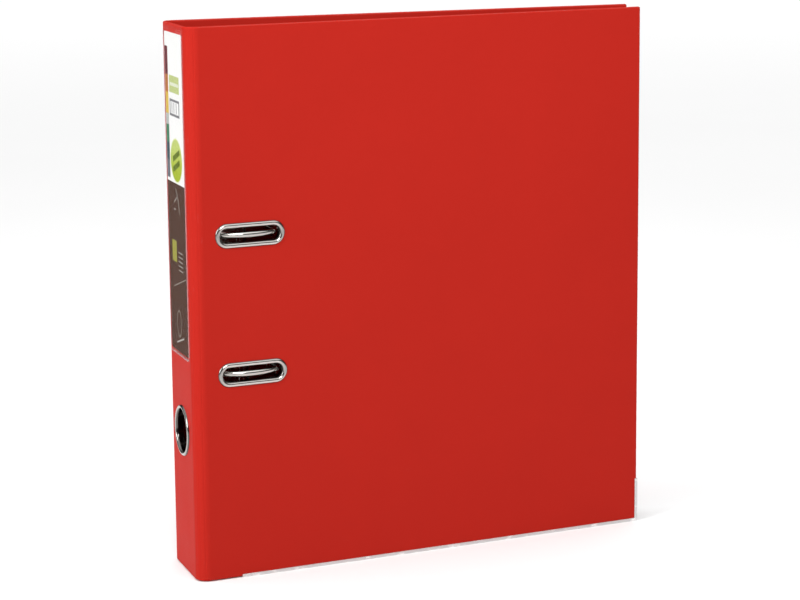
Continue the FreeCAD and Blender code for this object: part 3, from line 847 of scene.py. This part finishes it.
class FILE_OT_covers(bpy.types.Operator):
    """Make the front and back covers' film, wrapped round the boards' edges"""
    bl_idname = "lever_arch_file.covers"
    bl_label = "Covers"

    def execute(self, context):
        case, fittings, colours = settings().case, settings().fittings, settings().colours
        film = film_finish("cover_film", tuple(colours.film))
        stations = straight_stations(FRONT_START, ALONG, INTO, FRONT_LENGTH, case.edge_radius)
        front = covered_board("front_cover_skin", stations, film, case)
        cut_away(front, slot_cutters(fittings))
        fit(settle(front), "front_cover", "cover_film", "front_cover_film")
        stations = straight_stations(BACK_START, EAST, -NORTH, BACK_LENGTH, case.edge_radius)
        back = covered_board("back_cover_skin", stations, film, case)
        fit(settle(back), "back_cover", "cover_film", "back_cover_film")
        return {"FINISHED"}


class FILE_OT_spine(bpy.types.Operator):
    """Make the spine's film with its finger hole"""
    bl_idname = "lever_arch_file.spine"
    bl_label = "Spine"

    def execute(self, context):
        case, fittings, colours = settings().case, settings().fittings, settings().colours
        # Painted light: the spine's film is a lighter, lit copy of the cover film, for the side that faces
        # the side lamp.
        film = film_finish("spine_film", scaled(colours.film, 1.08), shine=0.042)
        stations = [(SPINE_NEAR, EAST, 0.0, 0.0), (SPINE_FAR, EAST, 0.0, 0.0)]
        skin = covered_board("spine_skin", stations, film, case)
        cut_away(skin, [finger_cutter(fittings)])
        fit(settle(skin), "spine", "cover_film", "spine_film")
        return {"FINISHED"}


FINGER_CUT = 15 * MM            # length of the finger hole's cutter, and its start before the spine
FINGER_CUT_BEFORE = 5 * MM


def finger_cutter(fittings):
    centre = middle("finger_ring")
    place = Vector((SPINE_X - FINGER_CUT_BEFORE, centre.y, centre.z))
    radius = fittings.finger_radius + fittings.wall
    return turned("finger_cutter", place, EAST, [(radius, 0), (radius, FINGER_CUT)], None, CUTTER_STEPS)


GROOVE_ZONE = (0.08, 0.92)      # share of a corner's turn that is grooved
GROOVE_NARROWING = 9            # the higher, the narrower each groove


def crease_stations(centre, first, turn, case):
    """Stations round a corner, with pressed grooves."""
    stations = []
    for k in range(CREASE_STEPS + 1):
        share = k / CREASE_STEPS
        angle = math.radians(first + turn * share)
        outward = Vector((math.cos(angle), math.sin(angle), 0))
        wave = math.cos(math.pi * (case.grooves + 1) * share)
        in_zone = GROOVE_ZONE[0] < share < GROOVE_ZONE[1]
        groove = max(0.0, 1 - (1 - wave ** 2) * GROOVE_NARROWING) if in_zone else 0.0
        stations.append((centre + outward * CORNER_R, -outward, 0.0, groove * case.groove_depth))
    return stations


class FILE_OT_creases(bpy.types.Operator):
    """Make the creased corners, baked in place; they do not bend with the covers"""
    bl_idname = "lever_arch_file.creases"
    bl_label = "Creases"

    def execute(self, context):
        case, colours = settings().case, settings().colours
        reach = EAST * CORNER_R
        lean = math.degrees(LEAN)
        corners = (
            ("front_crease", SPINE_NEAR + reach, 180, 90 + lean, ("spine", "front_cover"),
             (SPINE_NEAR, FRONT_START), "front_hinge_strip"),
            ("back_crease", SPINE_FAR + reach, 180, -90, ("spine", "back_cover"),
             (SPINE_FAR, BACK_START), "back_hinge_strip"))
        for name, centre, first, turn, bodies, ends, node in corners:
            finish = crease_finish(name, tuple(colours.film), *ends)
            strip = covered_board(name, crease_stations(centre, first, turn, case), finish, case)
            settle(strip, CREASE_ANGLE)
            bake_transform(strip)
            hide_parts(node)
        return {"FINISHED"}


LINING_CORNER = 3.0 * MM
SQUARE_CORNER = 0.01 * MM
LINING_EDGE = 0.08 * MM         # rounding of the lining's rim
LINING_SUNK = 0.05 * MM         # depth of the lining in the board's skin


def lining_sheet(name, start, direction, inward, length, case, inset, material):
    """Thin lining laid on the inside of a panel, inset at its free edge."""
    top, bottom = CASE_Z[1] - case.lining_inset, CASE_Z[0] + case.lining_inset
    last = length - inset
    far_corner = LINING_CORNER if inset else SQUARE_CORNER
    outline = rounded_outline((
        (0.0, bottom, 180, SQUARE_CORNER), (last, bottom, 270, far_corner),
        (last, top, 0, far_corner), (0.0, top, 90, SQUARE_CORNER)))
    crest = THICK + case.lining_step
    levels = ((THICK - LINING_SUNK, 0), (crest - LINING_EDGE, 0), (crest, LINING_EDGE))
    return rounded_sheet(name, outline, start, direction, inward, levels, material)


class FILE_OT_linings(bpy.types.Operator):
    """Make the lining sheets on the inside of the three panels"""
    bl_idname = "lever_arch_file.linings"
    bl_label = "Linings"

    def execute(self, context):
        case, fittings, colours = settings().case, settings().fittings, settings().colours
        inner = film_finish("lining_film", scaled(colours.film, 0.93), gloss=0.44, grain=LINING_GRAIN)
        inset = case.lining_inset
        front = lining_sheet("front_lining_sheet", FRONT_START, ALONG, INTO, FRONT_LENGTH, case,
                             inset, inner)
        cut_away(front, slot_cutters(fittings))
        fit(settle(front), "front_cover", "lining_film", "front_lining")
        back = lining_sheet("back_lining_sheet", BACK_START, EAST, -NORTH, BACK_LENGTH, case, inset, inner)
        fit(settle(back), "back_cover", "lining_film", "back_lining")
        spine = lining_sheet("spine_lining_sheet", SPINE_NEAR, NORTH, EAST,
                             (SPINE_FAR - SPINE_NEAR).length, case, 0.0, inner)
        cut_away(spine, [finger_cutter(fittings)])
        fit(settle(spine), "spine", "lining_film", "spine_lining")
        return {"FINISHED"}


class FILE_OT_boards(bpy.types.Operator):
    """Give the boards inside the film their grey fibre finish"""
    bl_idname = "lever_arch_file.boards"
    bl_label = "Boards"

    def execute(self, context):
        grey = board_finish()
        for node in ("front_board", "spine_board", "back_board"):
            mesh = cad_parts[node].data
            mesh.materials.clear()
            mesh.materials.append(grey)
        return {"FINISHED"}


class FILE_OT_edge_rails(bpy.types.Operator):
    """Make the folded metal edges"""
    bl_idname = "lever_arch_file.edge_rails"
    bl_label = "Edge rails"

    def execute(self, context):
        metal = edge_metal_finish()
        for side in ("front", "back"):
            softened_piece(side + "_edge_rail", side + "_metal_edge", side + "_cover", "edge_metal",
                           metal, 0.16 * MM, segments=3)
        return {"FINISHED"}


# ---------------------------------------------------------------- fittings

# Rolled crown of a rim, as shares of its width and of its height
RIM_CROWN = ((0.02, -0.10), (0.08, 0.30), (0.17, 0.60), (0.29, 0.84), (0.42, 0.97), (0.53, 1.0),
             (0.64, 0.96), (0.76, 0.82), (0.87, 0.58), (0.95, 0.32), (0.99, 0.12))
BARREL_STRAIGHT = 0.55 * MM     # depth at which the barrel's inside starts to roll out
RIM_FOOT = -0.02 * MM           # depth of the rolled edge over the film
RIM_UNDER = 0.04 * MM           # depth of the rim's underside
BARREL_SHOULDER = 0.1 * MM
EYELET_PROUD = 1.0 * MM
RING_SHARE = 0.99               # of the height that the frame gives the finger ring
# Curl of a backing ring, as distances out from the slot and up from the lining
BACKING_CURL = ((1.2, 0.62), (1.9, 0.5), (2.3, 0.2), (2.35, 0.0))
BACKING_LIP = 0.45 * MM
BACKING_SEAT = 0.02 * MM


def rim_profile(flange, proud, wall, depth):
    """Section of a rolled rim as (out from the edge, depth): a slope out of the opening to a
    crown near the outer edge, a tight roll down to the film, and the barrel's outside."""
    section = [(0.0, depth), (0.0, BARREL_STRAIGHT)]
    section += [(flange * share, -proud * height) for share, height in RIM_CROWN]
    return section + [(flange, RIM_FOOT), (flange * 0.97, RIM_UNDER), (wall * 1.3, RIM_UNDER),
                      (wall, BARREL_SHOULDER), (wall, depth)]


class FILE_OT_slot_eyelets(bpy.types.Operator):
    """Make the metal eyelets of the two slots and the rings behind them"""
    bl_idname = "lever_arch_file.slot_eyelets"
    bl_label = "Slot eyelets"

    def execute(self, context):
        fittings = settings().fittings
        half, radius = slot_shape(fittings)
        (u, z), (_, upper_z) = slot_places()
        centre = front_point(u, 0, z)
        plain = nickel_finish("backing_nickel")
        # Lighter copy of the nickel, whose crown carries a painted highlight on top, painted shade below
        # and a painted dark reflection at the slot's ends.
        nickel = nickel_finish("slot_nickel", 1.15, gloss=0.13,
                               crown=(centre, INTO, -0.86 * MM, -0.46 * MM, half + radius))
        flange = (high("lower_slot_eyelet").z - low("lower_slot_eyelet").z) / 2 - radius
        back = THICK + BACKING_SEAT
        curl = [(fittings.wall, back), (fittings.wall * 1.2, back + BACKING_LIP)]
        curl += [(out * MM, back + up * MM) for out, up in BACKING_CURL]
        profile = rim_profile(flange, EYELET_PROUD, fittings.wall, THICK + 2 * fittings.wall)
        for name, section, finish, nodes in (
                ("slot_eyelets", profile, nickel, ("lower_slot_eyelet", "upper_slot_eyelet")),
                ("slot_backing_rings", curl, plain, ("lower_slot_backing", "upper_slot_backing"))):
            rims = rolled_rim(name, centre, ALONG, INTO, half, radius, section, finish)
            repeated(rims, 2, (0, 0, upper_z - z))
            fit(settle(rims, ROLLED_ANGLE), "front_cover", "nickel_trim", *nodes)
        return {"FINISHED"}


class FILE_OT_finger_ring(bpy.types.Operator):
    """Make the finger ring in the spine and the washer behind it"""
    bl_idname = "lever_arch_file.finger_ring"
    bl_label = "Finger ring"

    def execute(self, context):
        fittings = settings().fittings
        plain = nickel_finish("washer_nickel")
        centre = middle("finger_ring")
        place = Vector((SPINE_X, centre.y, centre.z))
        # Darker, shaded copy of the nickel, whose crown carries a painted highlight on top and painted
        # shade below and in the barrel.
        nickel = nickel_finish("ring_nickel", 0.85, gloss=0.12,
                               crown=(place, EAST, -1.02 * MM, -0.5 * MM, 0.0))
        radius = fittings.finger_radius
        flange = (high("finger_ring").z - low("finger_ring").z) / 2 - radius
        proud = (SPINE_X - low("finger_ring").x) * RING_SHARE
        profile = rim_profile(flange, proud, fittings.wall, THICK + 2 * fittings.wall)
        ring = rolled_rim("finger_pull_ring", place, NORTH, EAST, 0.0, radius, profile, nickel)
        fit(settle(ring, ROLLED_ANGLE), "spine", "nickel_trim", "finger_ring")
        softened_piece("finger_ring_backing", "finger_ring_washer", "spine", "nickel_trim", plain,
                       0.12 * MM)
        return {"FINISHED"}


class FILE_OT_label(bpy.types.Operator):
    """Make the clear pocket on the spine and the printed card in it"""
    bl_idname = "lever_arch_file.label"
    bl_label = "Label and pocket"

    def execute(self, context):
        (x, south, bottom), (face, north, top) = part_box("spine_label")
        card = spine_plate("spine_label_card", (x + CARD_LIFT, face), (south, north), (bottom, top),
                           CARD_CORNER, label_finish(settings().colours))
        fit(settle(card), "spine", "label_card", "spine_label")
        fit(clear_pocket(pocket_finish()), "spine", "clear_film", "label_pocket")
        return {"FINISHED"}


PLATE_EDGE = 0.04 * MM          # rounding of a thin plate's rim
CARD_CORNER = 1.5 * MM
CARD_LIFT = 0.02 * MM           # between the card and the pocket
POCKET_FILM = 0.18 * MM
POCKET_CORNER = 2.5 * MM
WELD_SUNK = 0.12 * MM           # depth of a weld's face in the film
WELD_SHORT = 2.6 * MM           # between a weld's end and the pocket's edge
WELD_CORNER = 0.9 * MM
NOTCH_R = 9 * MM
NOTCH_CUT = 4 * MM              # length of the notch's cutter, centred on the pocket's face
NOTCH_RISE = 3.0 * MM           # of the notch's centre over the pocket's top edge


def spine_plate(name, x_span, y_span, z_span, corner, material):
    """Thin plate in the spine's plane with round corners and slightly rounded rims."""
    (near, far), (south, north), (bottom, top) = x_span, y_span, z_span
    outline = rounded_outline((
        (north, top, 0, corner), (south, top, 90, corner),
        (south, bottom, 180, corner), (north, bottom, 270, corner)))
    levels = ((far, PLATE_EDGE), (far - PLATE_EDGE, 0), (near + PLATE_EDGE, 0), (near, PLATE_EDGE))
    return rounded_sheet(name, outline, Vector(), NORTH, EAST, levels, material)


def clear_pocket(material):
    """Clear film with a thumb notch in its open top edge and a welded rim on three sides."""
    (x, south, bottom), (face, north, top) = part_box("label_pocket")
    made = spine_plate("label_pocket_film", (x, x + POCKET_FILM), (south, north), (bottom, top),
                       POCKET_CORNER, material)
    notch_place = Vector((x - NOTCH_CUT / 2, (south + north) / 2, top + NOTCH_RISE))
    section = [(NOTCH_R, 0), (NOTCH_R, NOTCH_CUT)]
    cut_away(made, [turned("notch", notch_place, EAST, section, None, DISC_STEPS)])
    upright = (bottom + WELD_SHORT, top - WELD_SHORT)
    joined(made, [
        spine_plate("weld", (x + WELD_SUNK, face), y_span, z_span, WELD_CORNER, material)
        for y_span, z_span in (
            ((south, south + WELD_WIDTH), upright), ((north - WELD_WIDTH, north), upright),
            ((south + WELD_SHORT, north - WELD_SHORT), (bottom, bottom + WELD_WIDTH)))])
    return settle(made)


def joined(made, others):
    """Add other objects' meshes to a piece."""
    bm = bmesh.new()
    for part in [made] + others:
        bm.from_mesh(part.data)
    bm.to_mesh(made.data)
    bm.free()
    for part in others:
        bpy.data.objects.remove(part)


# ---------------------------------------------------------------- mechanism

BRUSHED_UP = (1.0, 1.0, 0.04)
RIVET_PROUD = 0.8 * MM
RIVET_SHANK = 2.0 * MM
# Dome of a rivet's head, as shares of its radius and drops as shares of its height
RIVET_DOME = ((0.0, 0.0), (0.35, 0.02), (0.66, 0.14), (0.88, 0.40), (0.98, 0.72), (1.0, 0.95))
# Section of a post: its foot in shares of the foot's radius and mm upwards, its shank in shares of the
# post's radius and mm upwards, its tip and seat in the same shares and mm below the top
POST_R = 2.0 * MM
POST_FOOT = ((1.0, 0.0), (1.0, 0.5), (0.93, 0.72), (0.80, 0.80))
POST_SHANK = ((1.25, 0.82), (1.0, 1.2))
POST_TIP = ((1.0, 0.5), (0.93, 0.12), (0.85, 0.0), (0.81, 0.0), (0.1, 1.55))


class FILE_OT_base_plate(bpy.types.Operator):
    """Make the pressed base plate"""
    bl_idname = "lever_arch_file.base_plate"
    bl_label = "Base plate"

    def execute(self, context):
        finish = nickel_finish("plate_nickel", gloss=0.26,
                               brushed=BRUSHED_UP, scratch=PLATE_GRAIN)
        softened_piece("base_plate", "mechanism_base", "back_cover", "nickel_steel", finish, 0.22 * MM)
        return {"FINISHED"}


class FILE_OT_rivets(bpy.types.Operator):
    """Make the domed rivets that hold the base plate to the back cover"""
    bl_idname = "lever_arch_file.rivets"
    bl_label = "Rivets"

    def execute(self, context):
        fittings = settings().fittings
        finish = nickel_finish("rivet_nickel", 0.95, gloss=0.24)
        lowest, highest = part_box("mounting_rivets")
        head = fittings.rivet_radius
        place = Vector((lowest.x + head, highest.y, lowest.z + head))
        length = highest.y - lowest.y
        dome = [(head * share, drop * RIVET_PROUD) for share, drop in RIVET_DOME]
        profile = dome + [(head, RIVET_PROUD), (RIVET_SHANK, RIVET_PROUD),
                          (RIVET_SHANK, length - RIVET_PROUD)]
        profile += [(radius, length - drop) for radius, drop in reversed(dome)]
        rivet = turned("mechanism_rivets", place, -NORTH, profile, finish)
        repeated(rivet, 2, (highest.x - lowest.x - 2 * head, 0, 0))
        repeated(rivet, 2, (0, 0, highest.z - lowest.z - 2 * head))
        fit(settle(rivet, CREASE_ANGLE), "back_cover", "rivet_metal", "mounting_rivets")
        softened_piece("spring_rivet", "spring_rivet_head", "back_cover", "rivet_metal", finish,
                       0.25 * MM, segments=3)
        return {"FINISHED"}


class FILE_OT_posts(bpy.types.Operator):
    """Make the two fixed posts with their coned seats"""
    bl_idname = "lever_arch_file.posts"
    bl_label = "Posts"

    def execute(self, context):
        finish = nickel_finish("post_nickel", gloss=0.15)
        lowest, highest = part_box("lower_post")
        centre = middle("lower_post")
        foot = (highest.x - lowest.x) / 2
        place = Vector((centre.x, highest.y, centre.z))
        tall = highest.y - lowest.y
        profile = [(foot * share, up * MM) for share, up in POST_FOOT]
        profile += [(POST_R * share, up * MM) for share, up in POST_SHANK]
        profile += [(POST_R * share, tall - down * MM) for share, down in POST_TIP]
        posts = turned("arch_posts", place, -NORTH, profile, finish, POST_STEPS)
        repeated(posts, 2, (0, 0, middle("upper_post").z - centre.z))
        fit(settle(posts, POST_ANGLE), "back_cover", "nickel_steel", "lower_post", "upper_post")
        return {"FINISHED"}


class FILE_OT_arch_bow(bpy.types.Operator):
    """Make the bent wire of the two arches"""
    bl_idname = "lever_arch_file.arch_bow"
    bl_label = "Arch bow"

    def execute(self, context):
        finish = nickel_finish("wire_nickel", gloss=0.12)
        softened_piece("arch_bow", "arch_wire", "arches", "nickel_steel", finish, 0.0)
        return {"FINISHED"}


class FILE_OT_lever(bpy.types.Operator):
    """Make the lever, its pins and the cam roller"""
    bl_idname = "lever_arch_file.lever"
    bl_label = "Lever and cam"

    def execute(self, context):
        pressed = nickel_finish("lever_nickel", gloss=0.18, brushed=(1.0, 1.0, 0.06))
        turned_steel = nickel_finish("pin_nickel", gloss=0.22, brushed=(0.05, 1.0, 1.0))
        softened_piece("lever", "lever_arm", "lever", "nickel_steel", pressed, 0.20 * MM)
        softened_piece("roller_pin", "cam_roller_pin", "lever", "rivet_metal", turned_steel, 0.25 * MM)
        softened_piece("cam_roller", "cam_wheel", "cam_roller", "nickel_steel", turned_steel, 0.3 * MM, 3)
        softened_piece("lever_pivot_pin", "lever_pivot", "back_cover", "rivet_metal", turned_steel,
                       0.25 * MM, 3)
        return {"FINISHED"}


class FILE_OT_spring(bpy.types.Operator):
    """Make the leaf spring under the crank"""
    bl_idname = "lever_arch_file.spring"
    bl_label = "Opening spring"

    def execute(self, context):
        softened_piece("opening_spring", "leaf_spring", "back_cover", "spring_steel", spring_finish(),
                       0.08 * MM)
        return {"FINISHED"}


class FILE_OT_compressor(bpy.types.Operator):
    """Make the compressor bar"""
    bl_idname = "lever_arch_file.compressor"
    bl_label = "Compressor bar"

    def execute(self, context):
        finish = nickel_finish("bar_nickel", gloss=0.22,
                               brushed=BRUSHED_UP, scratch=STEEL_GRAIN)
        softened_piece("compressor_bar", "compressor_channel", "compressor_bar", "nickel_steel", finish,
                       0.18 * MM)
        return {"FINISHED"}


# ---------------------------------------------------------------- stage

FLOOR_R = 9.0
FLOOR_STEPS = 96
SENSOR_WIDTH = 36.0
CLIP = (0.05, 50.0)
# Area lights: name, place, target, size, watts and spread in degrees
LAMPS = (
    ("key", (-0.15, -1.1, 0.95), (0.02, 0.0, 0.37), (0.5, 0.4), 1.2, 55),
    ("spine_side", (-1.5, -0.5, 0.9), (0.0, 0.0, CASE_Z[1] / 2), (0.8, 1.0), 5.5, 90))
# Brightness of the surround by height, from the horizon at 0 to overhead at 1
SURROUND_STOPS = ((0.0, 0.6), (0.05, 0.45), (0.12, 0.06), (0.50, 0.08), (0.66, 1.2), (1.0, 1.75))


def soft_light(name, place, target, size, power, spread):
    lamp = bpy.data.lights.new(name, "AREA")
    lamp.shape = "RECTANGLE"
    lamp.size, lamp.size_y = size
    lamp.energy = power
    lamp.spread = math.radians(spread)
    made = bpy.data.objects.new(name, lamp)
    made.location = place
    made.rotation_euler = (Vector(target) - Vector(place)).to_track_quat("-Z", "Y").to_euler()
    bpy.context.scene.collection.objects.link(made)


def surround(strength):
    """Bright overhead, dark towards the horizon so that the metal has something to mirror.
    Seen directly it is plain white."""
    world = bpy.data.worlds.new("surround")
    bpy.context.scene.world = world
    world.use_nodes = True
    nodes, links = world.node_tree.nodes, world.node_tree.links
    backdrop = nodes["Background"]
    coords = nodes.new("ShaderNodeTexCoord")
    split = nodes.new("ShaderNodeSeparateXYZ")
    ramp = nodes.new("ShaderNodeValToRGB")
    seen = nodes.new("ShaderNodeLightPath")
    blend = nodes.new("ShaderNodeMix")
    blend.data_type = "RGBA"
    set_stops(ramp.color_ramp, [(place, (tone, tone, tone)) for place, tone in SURROUND_STOPS])
    links.new(coords.outputs["Generated"], split.inputs[0])
    links.new(split.outputs["Z"], ramp.inputs["Fac"])
    links.new(seen.outputs["Is Camera Ray"], blend.inputs[0])
    links.new(ramp.outputs["Color"], blend.inputs[6])
    blend.inputs[7].default_value = (1.0, 1.0, 1.0, 1.0)
    links.new(blend.outputs[2], backdrop.inputs["Color"])
    backdrop.inputs["Strength"].default_value = strength


class FILE_OT_stage(bpy.types.Operator):
    """Make the pale floor, the soft lights and the camera"""
    bl_idname = "lever_arch_file.stage"
    bl_label = "Stage"

    def execute(self, context):
        stage = settings().stage
        floor_bm = bmesh.new()
        bmesh.ops.create_circle(floor_bm, cap_ends=True, segments=FLOOR_STEPS, radius=FLOOR_R)
        floor = new_object("floor", floor_bm, floor_finish())
        surround(stage.world_light)
        for lamp in LAMPS:
            soft_light(*lamp)
        self.aim_camera(stage)
        context.scene.view_settings.view_transform = "Standard"
        return {"FINISHED"}

    @staticmethod
    def aim_camera(stage):
        lens = bpy.data.cameras.new("camera")
        lens.lens = stage.lens
        lens.sensor_width = SENSOR_WIDTH
        lens.clip_start, lens.clip_end = CLIP
        camera = bpy.data.objects.new("camera", lens)
        ahead = Vector((math.sin(stage.yaw) * math.cos(stage.pitch),
                        math.cos(stage.yaw) * math.cos(stage.pitch), -math.sin(stage.pitch)))
        level = Vector((math.cos(stage.yaw), -math.sin(stage.yaw), 0))
        over = level.cross(ahead)
        right = level * math.cos(stage.roll) + over * math.sin(stage.roll)
        up = over * math.cos(stage.roll) - level * math.sin(stage.roll)
        turn = Matrix((right, up, -ahead)).transposed()
        camera.matrix_world = Matrix.Translation(stage.camera_place) @ turn.to_4x4()
        bpy.context.scene.collection.objects.link(camera)
        bpy.context.scene.camera = camera


# ---------------------------------------------------------------- add-on

class LeverArchFileSettings(bpy.types.PropertyGroup):
    """All settings of the lever arch file"""
    case: bpy.props.PointerProperty(type=CaseSettings, name="Case", description="Covered boards")
    fittings: bpy.props.PointerProperty(type=FittingSettings, name="Fittings", description="Metal fittings")
    colours: bpy.props.PointerProperty(type=ColourSettings, name="Colours", description="Colours")
    stage: bpy.props.PointerProperty(type=StageSettings, name="Stage", description="Floor, lights, camera")


OPERATORS = (
    FILE_OT_stage, FILE_OT_boards, FILE_OT_covers, FILE_OT_spine, FILE_OT_creases, FILE_OT_linings,
    FILE_OT_edge_rails, FILE_OT_slot_eyelets, FILE_OT_finger_ring, FILE_OT_label, FILE_OT_base_plate,
    FILE_OT_rivets, FILE_OT_posts, FILE_OT_arch_bow, FILE_OT_lever, FILE_OT_spring, FILE_OT_compressor)


class FILE_PT_panel(bpy.types.Panel):
    """Lists the pieces of the lever arch file"""
    bl_idname = "FILE_PT_lever_arch_file"
    bl_label = "Lever arch file"
    bl_space_type = "VIEW_3D"
    bl_region_type = "UI"
    bl_category = "Lever arch file"

    def draw(self, context):
        for operator in OPERATORS:
            self.layout.operator(operator.bl_idname)


CLASSES = (CaseSettings, FittingSettings, ColourSettings, StageSettings, LeverArchFileSettings,
           *OPERATORS, FILE_PT_panel)


def register():
    for cls in CLASSES:
        bpy.utils.register_class(cls)
    bpy.types.Scene.lever_arch_file = bpy.props.PointerProperty(
        type=LeverArchFileSettings, name="Lever arch file", description="Settings of the file")


def unregister():
    del bpy.types.Scene.lever_arch_file
    for cls in reversed(CLASSES):
        bpy.utils.unregister_class(cls)


def main():
    register()
    for operator in OPERATORS:
        group, action = operator.bl_idname.split(".")
        getattr(getattr(bpy.ops, group), action)()


if __name__ == "__main__":
    main()
